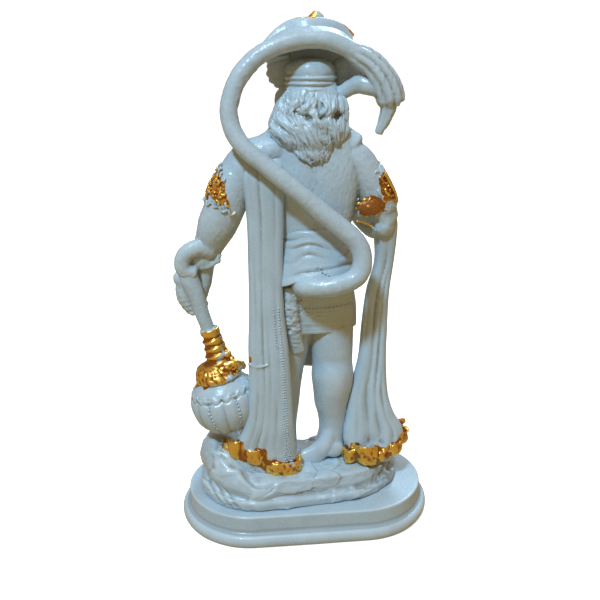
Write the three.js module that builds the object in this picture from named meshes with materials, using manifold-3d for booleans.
// Cast temple figure of a mace bearer with a long tail, standing on a rock on a moulded plinth.
// Millimetres, +Z up. The origin is the middle of the plinth's underside. The figure faces -Y,
// so its left hand, with the mace, is on the +X side.
// The plinth is one piece; the rock, the figure, its cloths, tail and mace are one casting.

import * as THREE from 'three';
import { ParametricGeometry } from 'three/addons/geometries/ParametricGeometry.js';
import { mergeVertices } from 'three/addons/utils/BufferGeometryUtils.js';
import Module from 'manifold-3d';

const wasm = await Module();
wasm.setup();

// Driving dimensions of the plinth
const plinthLength = 130.5;
const plinthWidth = 75.5;
const plinthHeight = 16.25;
const footHeight = 6.9;
const footStep = 4;
const footRound = 2.4;
const edgeRound = 0.8;
const ledgeWidth = 6.5;

// Driving dimensions of the casting
const castHeight = 233.5;
const rockHeight = 14.6;
const rockRise = 15;
const tailThickness = 8;
const maceBallWidth = 34;
const maceHandleWidth = 7.4;
const maceRibs = 14;
const drapeThickness = 8;
const leftPleats = 4;
const rightPleats = 3;
const pleatDepth = 1.7;
const hairLocks = 12;
const crownWidth = 42;
const crownScallops = 14;

// The casting is drawn at 233.5 mm, with heights taken from the floor under a 16.25 mm plinth,
// and its pose and proportions are shares of its height.
const drawnHeight = 233.5;
const drawnFloor = 16.25;
const share = castHeight / drawnHeight;
const at = (x, y, z) => new THREE.Vector3(x, y, z - drawnFloor).multiplyScalar(share);

const right = -1;
const left = 1;
const back = new THREE.Vector3(0, 1, 0);
const up = new THREE.Vector3(0, 0, 1);

// Solids

function solid(geometry) {
  const bare = geometry.clone();
  bare.deleteAttribute('normal');
  bare.deleteAttribute('uv');
  const welded = mergeVertices(bare);
  const corners = welded.index.array;
  const kept = [];
  for (let i = 0; i < corners.length; i += 3) {
    const [a, b, c] = corners.subarray(i, i + 3);
    if (a !== b && b !== c && c !== a) kept.push(a, b, c);
  }
  return new wasm.Manifold(new wasm.Mesh({
    numProp: 3,
    vertProperties: Float32Array.from(welded.getAttribute('position').array),
    triVerts: Uint32Array.from(kept),
  }));
}

function join(forms) {
  return forms.reduce((whole, form) => whole.add(form));
}

// A closed skin of rings with a pole at each end. place(angle, t, spread, point) puts a point
// on the ring at t, or on its middle where spread is 0.
function skin(sides, rings, place) {
  const rows = rings + 1;
  return solid(new ParametricGeometry((turn, run, point) => {
    const row = Math.round(run * rows);
    const spread = row === 0 || row === rows ? 0 : 1;
    const t = THREE.MathUtils.clamp((row - 1) / (rings - 1), 0, 1);
    place((turn % 1) * 2 * Math.PI, t, spread, point);
  }, sides, rows));
}

const smooth = (points) => new THREE.CatmullRomCurve3(points, false, 'catmullrom');

// A round form along stations [x, y, z, half width, half depth]. Its depth points to `deep`,
// square to its run. relief(angle, t) swells or thins it.
function limb(stations, { sides = 10, steps = 1, deep = back, relief = () => 1 } = {}) {
  const middle = smooth(stations.map(([x, y, z]) => at(x, y, z)));
  const girth = smooth(stations.map(([, , , wide, thick]) => new THREE.Vector3(wide, thick, 0)));
  const rings = (stations.length - 1) * steps + 1;
  return skin(sides, rings, (angle, t, spread, point) => {
    const run = middle.getTangent(t);
    const depth = deep.clone().addScaledVector(run, -deep.dot(run)).normalize();
    const width = depth.clone().cross(run);
    const size = girth.getPoint(t).multiplyScalar(share * spread * relief(angle, t));
    point.copy(middle.getPoint(t));
    point.addScaledVector(width, size.x * Math.cos(angle));
    point.addScaledVector(depth, size.y * Math.sin(angle));
  });
}

function ball(x, y, z, wide, thick, tall, sides = 10, rings = 6) {
  const round = new THREE.SphereGeometry(1, sides, rings);
  round.rotateX(Math.PI / 2);
  round.scale(wide * share, thick * share, tall * share);
  const middle = at(x, y, z);
  round.translate(middle.x, middle.y, middle.z);
  return solid(round);
}

// Hanging cloth through stations [z, left edge, right edge, y, swell], from the top down, with
// round pleats on its back and a plain front. swell is a share of the cloth's thickness.
function drape(stations, pleats) {
  const rising = [...stations].reverse();
  const span = smooth(rising.map(([z, xLeft, xRight]) => new THREE.Vector3(xLeft, xRight, z)));
  const lie = smooth(rising.map(([, , , y, swell]) => new THREE.Vector3(y, swell, 0)));
  const backPoints = pleats * 3;
  const frontPoints = pleats;
  const sides = backPoints + frontPoints;
  return skin(sides, stations.length, (angle, t, spread, point) => {
    const edge = span.getPoint(t);
    const hang = lie.getPoint(t);
    const k = Math.round((angle / (2 * Math.PI)) * sides);
    const onBack = k < backPoints;
    const across = onBack ? 1 - (2 * k) / backPoints : -1 + (2 * (k - backPoints)) / frontPoints;
    const round = Math.sqrt(1 - across ** 4);
    const ridge = Math.abs(Math.sin((across + 1) * 0.5 * pleats * Math.PI));
    const half = 0.5 * drapeThickness * hang.y;
    const deepness = onBack ? half * round + pleatDepth * hang.y * (ridge - 0.5) * round : -half * round;
    const x = (edge.x + edge.y) / 2 + ((edge.x - edge.y) / 2) * across * spread;
    point.copy(at(x, hang.x + deepness * spread, edge.z));
  });
}

// Plinth

function plinth() {
  const arcSteps = 12;
  const profile = [];
  const foot = new THREE.EllipseCurve(footRound, footHeight / 2, footRound, footHeight / 2);
  const footPoints = 4;
  for (let i = 0; i <= footPoints; i += 1) {
    const onCurve = foot.getPoint(0.75 - (0.5 * i) / footPoints);
    profile.push([onCurve.x, onCurve.y]);
  }
  profile.push([footStep, footHeight]);
  profile.push([footStep, plinthHeight - edgeRound]);
  profile.push([footStep + edgeRound, plinthHeight]);
  const sides = 2 * (arcSteps + 1);
  return skin(sides, profile.length, (angle, t, spread, point) => {
    const k = Math.round((angle / (2 * Math.PI)) * sides);
    const half = k <= arcSteps ? 0 : 1;
    const turn = (half + (k - half * (arcSteps + 1)) / arcSteps) * Math.PI - Math.PI / 2;
    const [inset, z] = profile[Math.round(t * (profile.length - 1))];
    const end = half === 0 ? 1 : -1;
    const radius = plinthWidth / 2 - inset;
    const straight = (end * (plinthLength - plinthWidth)) / 2;
    point.set((straight + radius * Math.cos(turn)) * spread, radius * Math.sin(turn) * spread, z);
  });
}

// Rock

// How far the flat top of the plinth reaches in a direction from its middle
function plinthReach(angle) {
  const radius = plinthWidth / 2 - footStep;
  const end = (plinthLength - plinthWidth) / 2;
  const across = Math.abs(Math.sin(angle));
  const along = Math.abs(Math.cos(angle));
  if (across * end >= along * radius) return radius / across;
  return end * along + Math.sqrt(radius ** 2 - (end * across) ** 2);
}

// The rock leaves an even ledge, but falls back at the figure's right behind.
function rockReach(angle) {
  const hollowAt = 2.7;
  const hollowSpread = 0.62;
  const hollowDepth = 0.2 * plinthWidth;
  const off = Math.atan2(Math.sin(angle - hollowAt), Math.cos(angle - hollowAt)) / hollowSpread;
  return plinthReach(angle) - ledgeWidth - hollowDepth * Math.exp(-off * off);
}

const step = THREE.MathUtils.smoothstep;

// Height of the rock's top above the plinth: it rises under the mace, dips between the feet
// and falls to the front.
function rockTop(x, y) {
  const rise = step(x, 22, 42) * (1 - 0.65 * step(y, 8, 26));
  const dip = Math.exp(-(((x + 1) / 7) ** 2)) * step(10 - y, 0, 14);
  const fall = step(-y, 10, 26);
  return (rockHeight + rockRise * rise - 2.6 * dip - 3.5 * fall) * share;
}

function rock() {
  const layers = [[1, 0], [1.02, 0.25], [0.96, 0.38], [0.98, 0.65], [0.9, 0.95], [0.66, 1], [0.36, 1]];
  return skin(28, layers.length, (angle, t, spread, point) => {
    const row = Math.round(t * (layers.length - 1));
    const [reach, lift] = layers[row];
    const rough = row === 0 ? 0 : 0.02 * Math.sin(5 * angle + 2.1 * row) + 0.015 * Math.sin(11 * angle - row);
    const radius = rockReach(angle) * (reach + rough) * spread;
    const x = radius * Math.cos(angle);
    const y = radius * Math.sin(angle);
    const bump = row === 0 ? 0 : 0.8 * Math.sin(x * 0.31 + row) * Math.cos(y * 0.37) * share * spread;
    point.set(x, y, (rockTop(x / share, y / share) + bump) * lift);
  });
}

// Body

function torso() {
  return join([
    limb([[-4, -0.8, 142, 16, 10.6], [-4, -1, 148, 17.2, 11], [-3.8, -1, 160, 19.8, 11.5],
      [-3.6, -1.5, 172, 22.4, 12], [-3, -2, 182, 23, 11.5], [-2.2, -1.5, 189.5, 22, 9.6],
      [-1.6, -1.2, 195, 23, 8.2], [-3, -2.5, 198.8, 18.6, 8], [-2, -4, 208, 9, 8.5]],
    { sides: 14 }),
    ball(-11.5, -9, 176, 9.5, 6.5, 7.5, 8, 6),
    ball(6.5, -9, 176, 9.5, 6.5, 7.5, 8, 6),
  ]);
}

function legs() {
  const standing = [[-13.4, -2, 102, 11.6, 12.4], [-14, -3, 84, 10.2, 10.5], [-14, -1, 74, 10.7, 10.5],
    [-13.5, -1, 62, 9, 9.2], [-14, -1, 52, 7.4, 7.4], [-13.1, -0.5, 44, 8, 7.6], [-11.6, 0, 34, 10.4, 9.4]];
  const eased = [[7, -3, 102, 11.6, 12.4], [9.8, -5, 84, 10.2, 10.5],
    [11.4, -4, 74, 10, 10], [11.4, -4, 62, 8.9, 9], [11, -4, 52, 7.2, 7.4], [10.8, -3.5, 44, 6.5, 7],
    [11.2, -3, 32, 7.2, 8]];
  const foot = (x, y, side) => limb([[x, y + 6, 36.5, 5, 4.8], [x, y, 36.5, 6.2, 5.5],
    [x + side, y - 8, 35, 7, 4.6], [x + 2 * side, y - 15, 33.6, 7.4, 3.4], [x + 2.4 * side, y - 20, 32.8, 6, 2.2]],
  { sides: 8, deep: up });
  return join([
    limb(standing),
    limb(eased),
    foot(-14.3, 1, right),
    foot(11.2, -2, left),
  ]);
}

// Short garment over the thighs, the cloth wound round the hips, the belt and the hanging sash
function garments() {
  const gathers = (angle, t) => 1 + 0.022 * t * Math.cos(9 * angle);
  const hem = limb([[-3, 0, 126, 20.6, 14.2], [-3.2, -0.5, 112, 23.4, 15.6], [-3.2, -1, 101, 23.8, 15.8],
    [-3.2, -1, 96, 23.6, 15.8]], { sides: 18, relief: gathers });
  const wound = [];
  const folds = 3;
  for (let i = 0; i <= folds; i += 1) {
    const low = i / folds;
    const z = 151 - 26 * low;
    wound.push([-4, 0.4 + low, z, 17.6 + 4.4 * low, 12.4 + 3.6 * low]);
    if (i < folds) wound.push([-4, 0.4 + low, z - 4.4, 17.4 + 4.4 * low, 12.2 + 3.6 * low]);
  }
  const belt = limb([[-4, -0.5, 154.5, 17.4, 11.6], [-4, -0.3, 152, 18.8, 13.1], [-4, 0, 149.4, 17.6, 12.2]],
    { sides: 12 });
  const frontSash = sashEnd(-4, -16.4, 149, 74, 7.5);
  const backSash = sashEnd(4, 4, 122, 88, 6.2);
  return join([hem, limb(wound, { sides: 12 }), belt, frontSash, backSash]);
}

// A narrow end of cloth that hangs straight, with two pleats
function sashEnd(x, y, top, bottom, halfWidth) {
  const middle = (top + bottom) / 2;
  return drape([[top, x + halfWidth * 0.8, x - halfWidth * 0.8, y + 3, 0.7],
    [middle, x + halfWidth, x - halfWidth, y, 0.75],
    [bottom, x + halfWidth * 1.2, x - halfWidth * 1.2, y, 0.8]], 2);
}

function leftArm() {
  const arm = limb([[14, 0, 190, 7.5, 8], [26, 1, 185, 9, 8.6], [33.4, 2.5, 175, 9, 8.6],
    [37.6, 3.5, 165, 9.4, 8.6], [41.8, 2.5, 155.5, 9.4, 8.2], [44.8, 0.5, 148.5, 7.8, 7],
    [47.6, -1, 142, 6.4, 5.6]]);
  const palm = limb([[47.6, -1, 143, 6, 5], [50.4, -4.5, 134, 6, 4.4], [52, -5.5, 123, 5.4, 3.8],
    [53.4, -5.5, 111, 4.2, 3.4]], { sides: 8 });
  const thumb = limb([[47.4, 3, 143, 4, 3.6], [52.8, 5.5, 145, 3.6, 3.4], [58.2, 5.2, 141.2, 3.5, 3.3],
    [59.2, 4.8, 133.6, 3.4, 3.2], [56.8, 4.8, 127.4, 2.2, 2.2]], { sides: 7 });
  const stations = [];
  const fingers = 4;
  for (let i = 0; i < fingers; i += 1) {
    const z = 107.4 + 4.2 * i;
    const x = 53.2 + 1.9 * i;
    stations.push([x, -3.6, z, 3.4, 5], [x + 0.8, -3.4, z + 2.1, 4.6, 6]);
  }
  stations.push([59, -3, 124.6, 2.6, 4]);
  return join([arm, palm, thumb, limb(stations, { sides: 8 })]);
}

function rightArm() {
  const upper = limb([[-17, -0.5, 187.5, 6.5, 7.5], [-24, -0.5, 184, 7.8, 8.2], [-29.8, -0.5, 175, 8, 8.2],
    [-34.6, -1, 165, 8, 8.2], [-38, -3, 156, 7.6, 7.4]]);
  const fore = limb([[-38, 1.5, 153.4, 5.4, 5.6], [-35, -7, 151.8, 6.8, 7], [-30, -16, 155.4, 6, 6],
    [-27, -24, 159.6, 4.8, 4.4]], { deep: up });
  const palm = limb([[-26.6, -24.5, 158, 4.4, 4], [-26, -26.6, 164, 5.6, 3], [-25.6, -27.6, 171.5, 6, 2.6]],
    { sides: 8 });
  const parts = [upper, fore, palm];
  const reach = [8.6, 10.8, 11.4, 10];
  reach.forEach((length, i) => {
    const x = -30.2 + 3.1 * i;
    parts.push(limb([[x, -27.4, 169, 1.5, 1.6], [x + 0.1, -28, 170 + length * 0.6, 1.5, 1.5],
      [x + 0.3, -27.6, 170 + length, 0.9, 0.9]], { sides: 5 }));
  });
  parts.push(limb([[-22.6, -26, 162, 1.8, 1.8], [-19, -27.4, 167, 1.7, 1.7], [-18.2, -27.6, 172, 1, 1]],
    { sides: 5 }));
  return join(parts);
}

// A broad pierced armlet with a leafy edge, seen as a raised band on the upper arm
function armlet(stations) {
  const leaves = (angle, t) => 1 + 0.035 * (1 + Math.cos(7 * angle) * Math.cos(t * 3 * Math.PI));
  return limb(stations, { sides: 14, relief: leaves });
}

function armlets() {
  return join([
    armlet([[31.3, 2, 179.5, 9.2, 8.9], [33.6, 2.6, 174.4, 9.5, 9.4], [36.8, 3.3, 168, 9.7, 9.4],
      [39.4, 3.4, 162, 9.6, 8.9]]),
    armlet([[-28, -0.5, 178.5, 8.2, 8.6], [-31, -0.6, 173, 8.6, 9.2], [-34.4, -1, 166.5, 8.6, 9.2],
      [-36.8, -2, 161, 8.4, 8.7]]),
  ]);
}

// Tail

const tailRoot = [[4, 10, 127], [1, 19, 129], [-10.5, 22, 130.1], [-20.6, 21.2, 133.4], [-23.8, 20.4, 141],
  [-21.2, 19.4, 149.8], [-10.2, 18.6, 159.6]];
const tailRun = [[4.5, 18, 172], [17, 17, 182.4], [30.6, 14, 194.4], [35, 10.8, 207.5], [30.3, 9, 221.2],
  [20.2, 7.7, 231], [7, 6.6, 236], [-8, 6, 236.6], [-20, 6, 232.6]];
const tuft = [[-28, 6, 227.6, 1.15, 1.1], [-33.6, 6, 222.6, 1.5, 1.2], [-36.6, 6, 214, 1.56, 1.2],
  [-36.2, 6, 208.4, 1.24, 1.1], [-33.8, 6, 203, 0.76, 0.8], [-31.4, 6, 197.4, 0.45, 0.4]];

function tail() {
  const half = tailThickness / 2;
  const stations = [];
  tailRoot.forEach(([x, y, z], i) => stations.push([x, y, z, half * (1.2 - 0.015 * i), half * (1.2 - 0.015 * i)]));
  tailRun.forEach(([x, y, z]) => stations.push([x, y, z, half, half]));
  tuft.forEach(([x, y, z, wide, thick]) => stations.push([x, y, z, half * wide, half * thick]));
  const grooved = (angle, t) => 1 + (t > 0.82 ? 0.07 * Math.cos(5 * angle) : 0);
  return limb(stations, { sides: 8, steps: 2, relief: grooved });
}

// Head, hair and crown

const headX = -2.5;

function head() {
  const stations = [[headX, -9, 198, 6.5, 7.5], [headX, -8.5, 204, 9.8, 11.5], [headX, -7.5, 211, 11, 13]];
  const ridges = 3;
  for (let i = 0; i < ridges; i += 1) {
    const z = 216 + 2.5 * i;
    stations.push([headX, -6.4, z, 11.1, 12.1], [headX, -6.4, z + 1.25, 12.1, 13.1]);
  }
  stations.push([headX, -6.2, 223.4, 11, 11.8], [headX, -6, 227.6, 8.4, 9.2], [headX, -6, 230.2, 3.2, 3.6]);
  const parts = [limb(stations, { sides: 12 }), ball(headX, -19, 204.5, 6.6, 6.2, 5.6),
    ball(headX, -21, 209, 2.6, 3.6, 2.4, 8, 5), ball(headX, -15, 198.6, 5, 5, 3, 8, 5),
    ball(headX, -17.6, 213, 8, 2.6, 1.7, 8, 5)];
  for (const side of [left, right]) {
    parts.push(limb([[headX + side * 9, -6, 212, 2, 4], [headX + side * 13, -5, 212.5, 3.4, 2],
      [headX + side * 14, -6.5, 206.5, 2.4, 1.8]], { sides: 5 }));
  }
  return join(parts);
}

// Waving locks over the nape, as ridges of one mass that ends in a fringe of free tips
function hair() {
  const locks = (angle, t) => 1 + 0.075 * Math.cos(hairLocks * angle + 2.2 * Math.sin(t * 3 * Math.PI)) * (0.4 + t);
  const mass = limb([[headX, -2, 217, 12, 9.4], [-2.8, -1, 213, 15.4, 9.8], [-2.4, -0.2, 208, 16.4, 10.4],
    [-1.4, 0.6, 203.5, 17.6, 10.8], [-0.4, 1.6, 198.5, 18.8, 10.8], [-0.5, 2.8, 194, 16, 9.6],
    [-0.8, 3.8, 190.5, 10.5, 7.6]], { sides: 2 * hairLocks, relief: locks });
  const parts = [mass];
  const tips = 4;
  for (let i = 0; i < tips; i += 1) {
    const place = (i / (tips - 1)) * 2 - 1;
    const x = -1 + 11.5 * place;
    const low = 186.5 + 5 * Math.abs(place);
    parts.push(limb([[x, 8.5, low + 12, 2.6, 2.2], [x + 1.2, 11.4, low + 6, 2.8, 2.4], [x - 1, 12.6, low, 0.8, 0.8]],
      { sides: 5 }));
  }
  return join(parts);
}

// A round shell standing behind the brow, fluted to a scalloped rim, with a finial, and the web
// that runs back from its rim to the tail
function crown() {
  const centre = [-4.6, 227.6];
  const rim = crownWidth / 2;
  const profile = [[0.8, -11.5], [1, -12.6], [0.96, -15.8], [0.4, -19]];
  const shell = skin(2 * crownScallops, profile.length, (angle, t, spread, point) => {
    const row = Math.round(t * (profile.length - 1));
    const [reach, y] = profile[row];
    const flute = 1 + 0.03 * reach * Math.cos(crownScallops * angle);
    const radius = rim * reach * flute * spread;
    point.copy(at(centre[0] + radius * Math.sin(angle), y, centre[1] - radius * Math.cos(angle)));
  });
  const finial = limb([[-5, -14, 245.5, 4.4, 2.6], [-5.2, -14, 247.6, 3.4, 2.4], [-5.4, -14, 249, 2, 1.6],
    [-5.5, -14, drawnHeight + drawnFloor, 0.6, 0.6]], { sides: 6 });
  const arch = smooth(tailRun.slice(3).map(([x, y, z]) => at(x, y, z)));
  const web = skin(6, 7, (angle, t, spread, point) => {
    const onTail = arch.getPoint(0.22 + 0.78 * t);
    const around = (0.14 + 0.66 * t) * Math.PI;
    const onRim = at(centre[0] + rim * 0.93 * Math.cos(around), -13.4, centre[1] + rim * 0.93 * Math.sin(around));
    const half = (0.4 - 1.6 * Math.sin(angle)) * share * spread;
    const along = 0.5 + 0.5 * Math.cos(angle) * spread;
    point.lerpVectors(onRim, onTail, along);
    const out = point.clone().sub(at(centre[0], point.y, centre[1])).setY(0).normalize();
    point.addScaledVector(out, half);
  });
  return join([shell, finial, web]);
}

// The lobe of cast metal that ties the head to the tail's tuft
function tuftLobe() {
  return limb([[-11, -3, 216.6, 4.6, 4], [-18, 0.5, 217.6, 4.9, 4.4], [-25, 3.6, 219.4, 4.6, 4],
    [-30.5, 5.4, 219.6, 4, 3.4]], { sides: 8 });
}

// Mace

const maceMiddle = [41.2, 5, 66.4];

function mace() {
  const radius = maceBallWidth / 2;
  const ribbed = skin(2 * maceRibs, 6, (angle, t, spread, point) => {
    const rise = (0.07 + 0.86 * t - 0.5) * Math.PI;
    const rib = 1 + 0.035 * Math.cos(maceRibs * angle) * Math.cos(rise);
    const flat = radius * Math.cos(rise) * rib * spread;
    const [x, y, z] = maceMiddle;
    point.copy(at(x + flat * Math.cos(angle), y + flat * Math.sin(angle), z + radius * Math.sin(rise)));
  });
  const leaves = (angle, t) => 1 + 0.05 * t * Math.cos(7 * angle);
  const cap = limb([[44, 4.7, 91.5, 4.4, 4.4], [42.8, 4.8, 88, 7.6, 7.6], [42, 4.8, 83.5, 11.3, 11.3],
    [41.6, 5, 79, 13.4, 13.4]], { sides: 14, relief: leaves });
  const handle = maceHandleWidth / 2;
  const stations = [];
  const rings = 3;
  for (let i = 0; i < rings; i += 1) {
    const z = 90 + 5.4 * i;
    const x = 43.8 + 1.6 * i;
    stations.push([x, 4.6, z, handle + 0.5, handle + 0.5], [x + 0.8, 4.5, z + 2.7, handle + 1.5, handle + 1.5]);
  }
  stations.push([48.6, 4.2, 106.4, handle, handle], [52.4, 4, 118, handle, handle], [55.2, 4, 129, handle, handle],
    [56.6, 4, 136.5, handle, handle]);
  return join([ribbed, cap, limb(stations, { sides: 8 }), ball(39.4, 5, 91.4, 2.8, 2.8, 2.6, 6, 5)]);
}

// Cloths that hang from the left shoulder and the right forearm to the rock

function leftDrape() {
  return drape([[191, 27, 13, -1, 0.7], [187.5, 30.5, 10.5, 3.5, 0.9], [178, 30, 10.8, 8.6, 1], [160, 28.5, 11.2, 9.6, 1],
    [138, 28.2, 12, 10.4, 1], [116, 28.4, 11.6, 11.4, 1.02], [97, 29.2, 9.8, 12.8, 1.08], [76, 29.4, 8.4, 14.4, 1.15],
    [58, 32, 7.4, 16, 1.3], [44, 37, 6.6, 17, 1.5], [34, 37.6, 6, 18, 1.7], [27, 36, 7, 17.4, 1.6]], leftPleats);
}

function rightDrape() {
  return drape([[158, -32.6, -44.6, -4.6, 1.6], [150, -33.6, -45.4, -4.6, 1.5], [134, -34.6, -44.4, -4.6, 1.1],
    [119, -31, -42.7, -4.4, 1.05], [103, -29, -42.2, -3.8, 1.1], [83, -27.2, -42, -2.4, 1.2],
    [66, -22.6, -42.8, 0, 1.35], [54, -21, -46, 3, 1.6], [45, -18.6, -52.6, 5.2, 1.9], [35, -18.6, -53, 6.6, 2],
    [26, -21, -48, 6.4, 1.8]], rightPleats);
}

// Small ties of cast metal: mace to cloth, leg to cloth
function ties() {
  return join([
    limb([[-19, -1, 78, 2.6, 2.6], [-31, -2, 78, 2.6, 2.6]], { sides: 6 }),
    limb([[26, 9, 66, 4, 5], [38, 6, 66, 4, 5]], { sides: 6 }),
  ]);
}

function figure() {
  return join([rock(), torso(), legs(), garments(), leftArm(), rightArm(), armlets(), tail(), head(), hair(), crown(),
    tuftLobe(), mace(), leftDrape(), rightDrape(), ties()]);
}

// Model

function mesh(name, form, finish) {
  const { vertProperties, triVerts } = form.getMesh();
  const geometry = new THREE.BufferGeometry();
  geometry.setAttribute('position', new THREE.Float32BufferAttribute(vertProperties, 3));
  geometry.setIndex(new THREE.Uint32BufferAttribute(triVerts, 1));
  geometry.computeVertexNormals();
  const piece = new THREE.Mesh(geometry, new THREE.MeshStandardMaterial(finish));
  piece.name = name;
  return piece;
}

const enamel = { color: 0xb9c7cf, roughness: 0.28, metalness: 0 };

const part = new THREE.Group();
const stand = mesh('plinth', plinth(), enamel);
const casting = mesh('figure', figure(), enamel);
casting.position.z = plinthHeight;
part.add(stand, casting);

export default part;
